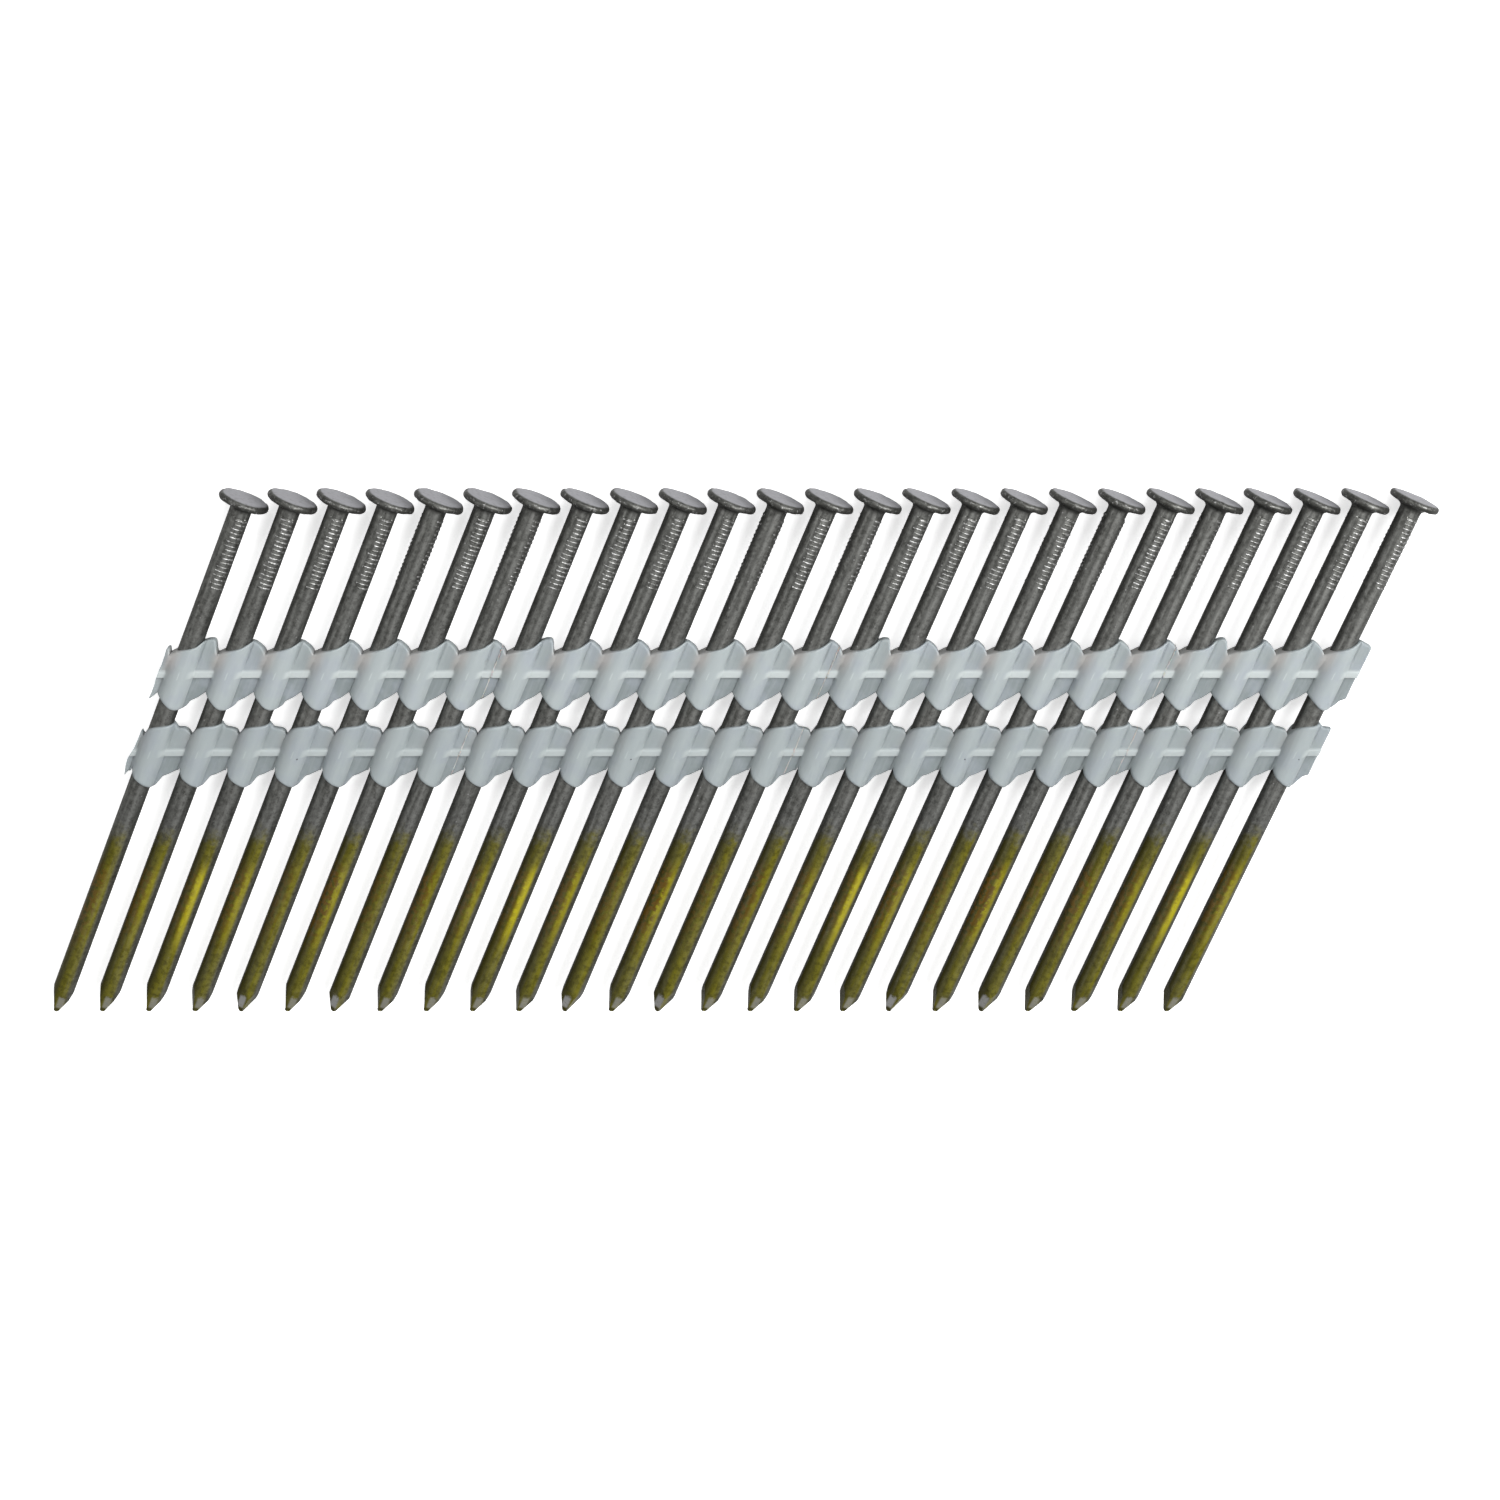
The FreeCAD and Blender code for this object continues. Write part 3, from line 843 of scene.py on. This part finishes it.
def collarCell(band, topPoints, before, name):
    # one pitch of band, front and back, open at its two sides so that it joins its neighbours
    columns = columnOffsets(band)
    step, steepest = collarShape["outlineStep"], collarShape["outlineSteepest"]
    vertices, tones = [], []
    rowsPerSide = None
    for offset in columns:
        high = edgeHeight(topPoints, offset, before)
        low = edgeHeight(band["bottom"], offset)
        topSlope = (edgeHeight(topPoints, offset + step, before)
                    - edgeHeight(topPoints, offset - step, before)) / (2 * step)
        lowSlope = (edgeHeight(band["bottom"], offset + step)
                    - edgeHeight(band["bottom"], offset - step)) / (2 * step)
        rows = rowHeights(band, low, high)
        rowsPerSide = len(rows)
        front = []
        for height in rows:
            fromTop = (high - height) / math.hypot(1, min(abs(topSlope), steepest))
            fromLow = (height - low) / math.hypot(1, min(abs(lowSlope), steepest))
            surface, recessShade, ribTone, warmth = collarSurface(band, offset, height)
            surface -= rimFall(min(fromTop, fromLow))
            # painted shade: a thin darker outline along the band's top and bottom edges
            rim = smoothStep(collarShape["rimWidth"], 0.10, min(fromTop, fromLow))
            front.append((height, surface, recessShade, rim, ribTone, warmth))
        for side in (1, -1):
            for height, surface, recessShade, rim, ribTone, warmth in (front if side > 0 else reversed(front)):
                level = -band["level"] + height
                vertices.append(((level * math.tan(lean) + offset) * mm, level * mm,
                                 side * surface * mm))
                tones.append((recessShade, rim, ribTone, warmth))
    cell = meshObject(name, vertices, ringFaces(len(columns), 2 * rowsPerSide))
    for slot, label in enumerate(toneNames):
        attribute = cell.data.attributes.new(label, "FLOAT", "POINT")
        attribute.data.foreach_set("value", [tone[slot] for tone in tones])
    cell.data.shade_smooth()
    return cell


def bandTree():
    tree, w, given = newGroup("collarRow", "GeometryNodeTree", {
        "First Collar": "Object", "Second Collar": "Object", "Collar": "Object",
        "Count": "Int", "Pitch": "Float", "Start": "Vector", "Wobble": "Float", "Seed": "Int",
        "Plastic": "Material"}, ("Geometry", "Geometry"))
    line = w.node("GeometryNodeMeshLine", {"Count": given["Count"], "Start Location": given["Start"],
                                           "Offset": w.vector(given["Pitch"])})
    index = w.node("GeometryNodeInputIndex")
    joined = w.node("GeometryNodeJoinGeometry")
    for label, test, rank in (("First Collar", "EQUAL", 0), ("Second Collar", "EQUAL", 1),
                              ("Collar", "GREATER_THAN", 1)):
        choice = w.node("FunctionNodeCompare", {2: index, 3: rank}, data_type="INT",
                        operation=test)
        shape = w.node("GeometryNodeObjectInfo", {"Object": given[label]})
        placed = w.node("GeometryNodeInstanceOnPoints", {"Points": line, "Selection": choice,
                                                         "Instance": shape.outputs["Geometry"]})
        tree.links.new(placed.outputs[0], joined.inputs[0])
    real = w.node("GeometryNodeRealizeInstances", {0: joined})
    merged = w.node("GeometryNodeMergeByDistance", {"Geometry": real, "Distance": 0.000004})
    position = w.node("GeometryNodeInputPosition")
    noise = w.node("ShaderNodeTexNoise", {"Vector": position, "W": given["Seed"], "Scale": 260.0,
                                          "Detail": 2.0}, noise_dimensions="4D")
    centred = w.vectorMath("SUBTRACT", noise.outputs["Color"], (0.5, 0.5, 0.5))
    moved = w.node("ShaderNodeVectorMath", {0: centred, "Scale": given["Wobble"]},
                   operation="SCALE")
    uneven = w.node("GeometryNodeSetPosition", {"Geometry": merged, "Offset": moved.outputs[0]})
    finished = w.node("GeometryNodeSetMaterial", {"Geometry": uneven,
                                                  "Material": given["Plastic"]})
    w.node("NodeGroupOutput", {0: finished})
    return tree


endShape = {
    "seamBevel": math.tan(math.radians(6.0)),      # room for the seam to fold ten degrees
    "seamGap": 0.02,
    "seamNear": 0.05,
    "leadFrom": -2.25,           # the torn web starts here, left of the lead nail
    "leadReach": 0.80,
    "tearFrom": -2.5,            # the tear's jags run up from this height
    "tearHeight": 8.0,
    "tearJags": 11,
    "rearFrom": 2.5,             # the cut web starts here, right of the rear nail
    "rearReach": 1.46,
}


def shapeEnds(piece, bandName, level, firstNail, lastNail):
    # tear the lead end, cut the rear end, and bevel the faces that meet at a seam
    tearRandom = random.Random(bandName)
    jags = endShape["tearJags"]
    ragged = [tearRandom.uniform(0.86, 1.0) for jag in range(jags + 1)]
    for vertex in piece.data.vertices:
        place = vertex.co
        high = (place.y - leadHead.y) / mm
        depth = abs(place.z - leadHead.z) / mm
        offset = (place.x - leadHead.x) / mm - high * math.tan(lean)
        fromFirst = offset - firstNail * pitchMm
        fromLast = offset - lastNail * pitchMm
        move = 0.0
        bandHeight = high + level
        if firstNail == 0:
            if fromFirst < endShape["leadFrom"]:
                part = (bandHeight - endShape["tearFrom"]) / endShape["tearHeight"]
                part = min(max(part, 0.0), 0.999) * jags
                jag = ragged[int(part)] * (1 - part % 1) + ragged[int(part) + 1] * (part % 1)
                reach = endShape["leadReach"] * jag
                if bandName == "lower":
                    reach *= 0.30 + 0.60 * math.exp(-((bandHeight + 0.2) / 1.6) ** 2)
                move = (fromFirst - endShape["leadFrom"]) * (reach - 1)
        elif abs(fromFirst + halfPitch) < endShape["seamNear"]:
            move = depth * endShape["seamBevel"] + endShape["seamGap"] - halfPitch - fromFirst
        if lastNail == nailCount - 1:
            if fromLast > endShape["rearFrom"]:
                move = (fromLast - endShape["rearFrom"]) * (endShape["rearReach"] - 1)
        elif abs(fromLast - halfPitch) < endShape["seamNear"]:
            move = halfPitch - depth * endShape["seamBevel"] - endShape["seamGap"] - fromLast
        place.x += move * mm


def closeEnds(mesh):
    work = bmesh.new()
    work.from_mesh(mesh)
    rims = [edge for edge in work.edges if edge.is_boundary]
    filled = bmesh.ops.holes_fill(work, edges=rims, sides=0)
    bmesh.ops.triangulate(work, faces=filled["faces"])
    bmesh.ops.recalc_face_normals(work, faces=work.faces)
    work.to_mesh(mesh)
    work.free()


bandFinish = {"Pitch": nailPitch, "Wobble": 0.00010, "Plastic": bandPlastic}


def makeBands():
    tree = bandTree()
    for bandName, band in (("upper", upperBand), ("lower", lowerBand)):
        collar = collarCell(band, band["top"], None, bandName + "Collar")
        secondCollar = collarCell(band, band["top"], band["firstTop"], bandName + "SecondCollar")
        firstCollar = collarCell(band, band["firstTop"], band["top"], bandName + "FirstCollar")
        leadBand = dict(band, scaleTop=-9.0, leftRecessShade=0.25)      # the torn web is level with it
        leadCollar = collarCell(leadBand, band["firstTop"], band["leadTop"], bandName + "LeadCollar")
        holder = meshObject("bandHolder", [(0, 0, 0)], [])
        modifier = holder.modifiers.new("row", "NODES")
        modifier.node_group = tree
        setInputs(modifier, bandFinish)
        for section, firstNail, pastLast in sections:
            setInputs(modifier, {
                "First Collar": firstCollar if firstNail else leadCollar,
                "Second Collar": secondCollar, "Collar": collar, "Count": pastLast - firstNail,
                "Start": tuple(leadHead + Vector((firstNail * nailPitch, 0, 0))),
                "Seed": section * 5 + len(bandName)})
            holder.update_tag()
            bpy.context.view_layer.update()
            piece = bakeModifiers(holder, "collarBand_%s_%d" % (bandName, section))
            shapeEnds(piece, bandName, band["level"], firstNail, pastLast - 1)
            closeEnds(piece.data)
            piece.data.shade_smooth()
            piece.data.set_sharp_from_angle(angle=math.radians(50))
            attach(piece, "section_%d" % section)
            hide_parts("%s_band_%d" % (bandName, section))
        for helper in (collar, secondCollar, firstCollar, leadCollar, holder):
            bpy.data.objects.remove(helper)
    print("bands made:", 2 * len(sections))


makeBands()

weldShape = {"halfWidth": 0.125, "core": 0.02, "proud": -0.005, "wander": 0.05, "rows": 34,
             "over": 0.02, "shoulder": 0.55, "sunk": 0.03, "blendReach": 0.3}
weldLook = {"dull": colour(0.33, 0.33, 0.325), "white": colour(0.44, 0.415, 0.40)}


def seamWeldMaterial():
    # paler and warmer than the bands, because the plastic whitened where it was joined
    material, w = newMaterial("seamWeld")
    blotch = w.noise(w.objectPlace(), scale=900.0, detail=4.0)
    w.surface({"Base Color": w.mix(w.ramp(blotch, 0.38, 0.62), weldLook["dull"], weldLook["white"]),
               "Subsurface Weight": 0.35, "Subsurface Scale": 0.5 * mm,
               "Roughness": w.ramp(blotch, 0.3, 0.7, 0.40, 0.60),
               "Normal": w.bump(blotch, 0.06 * mm)})
    return material


def makeSeamWelds():
    # the thin line of plastic that joins one moulding to the next at the seam
    shape = weldShape
    material = seamWeldMaterial()
    for bandName, band in (("upper", upperBand), ("lower", lowerBand)):
        low = edgeHeight(band["bottom"], halfPitch) - shape["over"]
        high = edgeHeight(band["top"], halfPitch) + shape["over"]
        for section, firstNail, pastLast in sections[:-1]:
            wander = random.Random(section * 11 + len(bandName))
            seam = leadHead + Vector(((pastLast - 0.5) * nailPitch, 0, 0))
            vertices = []
            drift = 0.0
            for row in range(shape["rows"] + 1):
                part = row / shape["rows"]
                height = low + (high - low) * part
                level = -band["level"] + height
                drift = 0.7 * drift + wander.uniform(-1, 1) * shape["wander"] * 0.6
                ends = math.sin(math.pi * min(max(part, 0.02), 0.98)) ** 0.35
                face = (collarSurface(band, halfPitch, height)[0]
                        - rimFall(min(height - low, high - height)))
                half = shape["halfWidth"] * ends * wander.uniform(0.85, 1.1)
                centre = level * math.tan(lean)
                edge, top = face - shape["sunk"], face + shape["proud"] * ends
                shoulder = half * shape["shoulder"]
                outline = [(-half, edge), (-shoulder, top), (shoulder, top), (half, edge),
                           (shape["core"], 0.0), (half, -edge), (shoulder, -top),
                           (-shoulder, -top), (-half, -edge), (-shape["core"], 0.0)]
                for sideways, depth in outline:
                    shift = drift if abs(depth) > 0.1 else 0.0
                    vertices.append(tuple(seam + Vector((centre + sideways + shift, level, depth)) * mm))
            around = len(outline)
            faces = ringFaces(shape["rows"] + 1, around, flipped=True)
            faces.append(tuple(range(around)))
            faces.append(tuple(shape["rows"] * around + k for k in reversed(range(around))))
            weld = smallPiece("seamWeld_%s_%d" % (bandName, section), vertices, faces, material)
            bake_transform(weld)
    print("seam welds made")


makeSeamWelds()

markShape = {"offset": 0.85, "height": 0.50, "radius": 0.16, "nailsBefore": 3, "sunk": 0.03,
             "proud": 0.04, "rings": 3, "around": 9,
             "rise": 0.03, "uneven": 0.25}
fleckLook = {"dark": colour(0.02, 0.02, 0.03), "pale": colour(0.10, 0.10, 0.12)}


def makeGateMarks():
    # a dark fleck that each moulding carries on the lower collar of its fourth nail
    material, w = newMaterial("gateFleck")
    speckle = w.noise(w.objectPlace(), scale=4000.0)
    w.surface({"Base Color": w.mix(speckle, fleckLook["dark"], fleckLook["pale"]),
               "Roughness": 0.6})
    shape = markShape
    for section, firstNail, pastLast in sections:
        nail = firstNail + shape["nailsBefore"]
        level = -lowerBand["level"] + shape["height"]
        depth = collarSurface(lowerBand, shape["offset"], shape["height"])[0]
        centre = leadHead + Vector((nail * nailPitch, 0, 0)) + Vector(
            (level * math.tan(lean) + shape["offset"], level, depth)) * mm
        vertices = []
        rings, around = shape["rings"], shape["around"]
        for ring in range(rings):
            reach = shape["radius"] * (1 - ring / rings)
            for k in range(around):
                angle = 2 * math.pi * k / around
                uneven = 1 + shape["uneven"] * math.sin(3 * angle + section)
                vertices.append(tuple(centre + Vector((reach * uneven * math.cos(angle),
                                                       reach * uneven * math.sin(angle),
                                                       shape["rise"] * ring - shape["sunk"])) * mm))
        top = len(vertices)
        vertices.append(tuple(centre + Vector((0, 0, shape["proud"])) * mm))
        faces = ringFaces(rings, around, flipped=True)
        last = (rings - 1) * around
        faces += [(last + k, last + (k + 1) % around, top) for k in range(around)]
        faces.append(tuple(reversed(range(around))))
        mark = smallPiece("gateMark_%d" % section, vertices, faces, material)
        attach(mark, "section_%d" % section)
    print("gate marks made")


makeGateMarks()

# floor, light and camera
stageLook = {
    "floorSize": 6.0,
    "floorTone": 0.90,
    "floorUnder": 0.40,          # how much of the light the floor gives back to the strip
    "floorGlow": 0.62,
    "worldTone": 1.0,
    "worldStrength": 0.23,
}


def makeFloor():
    half = stageLook["floorSize"] / 2
    floor = meshObject("floor", [(-half, -half, 0), (half, -half, 0), (half, half, 0),
                                 (-half, half, 0)], [(0, 1, 2, 3)])
    material, w = newMaterial("paleFloor")
    seen = w.node("ShaderNodeLightPath").outputs["Is Camera Ray"]
    tone, under = stageLook["floorTone"], stageLook["floorUnder"]
    w.surface({"Base Color": w.mix(seen, colour(under, under, under), colour(tone, tone, tone)),
               "Emission Color": colour(1, 1, 1),
               "Emission Strength": w.times(seen, stageLook["floorGlow"]),
               "Roughness": 0.9, "Specular IOR Level": 0.1})
    floor.data.materials.append(material)


lights = [                       # name, place, width, height, power
    ("keyLight", (0.95, 0.25, 1.15), 0.42, 1.5, 33.0),
    ("fillLight", (-1.0, 0.4, 1.0), 0.9, 0.9, 4.0),
    ("headLight", (0.1, 1.05, 1.05), 1.2, 0.5, 8.0),
]


def makeLight(name, place, width, height, power):
    lamp = bpy.data.lights.new(name, "AREA")
    lamp.shape = "RECTANGLE"
    lamp.size = width
    lamp.size_y = height
    lamp.energy = power
    obj = bpy.data.objects.new(name, lamp)
    scene.collection.objects.link(obj)
    obj.location = place
    obj.rotation_euler = (-Vector(place)).to_track_quat("-Z", "Y").to_euler()


def makeWorld():
    world = bpy.data.worlds.new("studio")
    world.use_nodes = True
    background = world.node_tree.nodes["Background"]
    tone = stageLook["worldTone"]
    background.inputs[0].default_value = colour(tone, tone, tone)
    background.inputs[1].default_value = stageLook["worldStrength"]
    scene.world = world
    scene.view_settings.view_transform = "Standard"


cameraSetup = {
    "lens": 72.0,
    "sensor": 36.0,
    "nearest": 0.01,
    "distance": 0.4222,
    "tilt": math.radians(17.48),     # from square over the strip, towards the heads
    "aim": Vector((69.2, -36.3, 0.0)) * mm,      # from the lead nail's head
}


def makeCamera():
    tilt = cameraSetup["tilt"]
    aim = leadHead + cameraSetup["aim"]
    outward = Vector((0, math.sin(tilt), math.cos(tilt)))
    upward = Vector((0, math.cos(tilt), -math.sin(tilt)))
    camera = bpy.data.objects.new("camera", bpy.data.cameras.new("camera"))
    scene.collection.objects.link(camera)
    camera.data.lens = cameraSetup["lens"]
    camera.data.sensor_width = cameraSetup["sensor"]
    camera.data.clip_start = cameraSetup["nearest"]
    rightward = upward.cross(outward)
    turn = Matrix((rightward, upward, outward)).transposed()
    camera.matrix_world = Matrix.Translation(aim + outward * cameraSetup["distance"]) @ turn.to_4x4()
    scene.camera = camera


makeFloor()
makeWorld()
for light in lights:
    makeLight(*light)
makeCamera()
print("stage made")
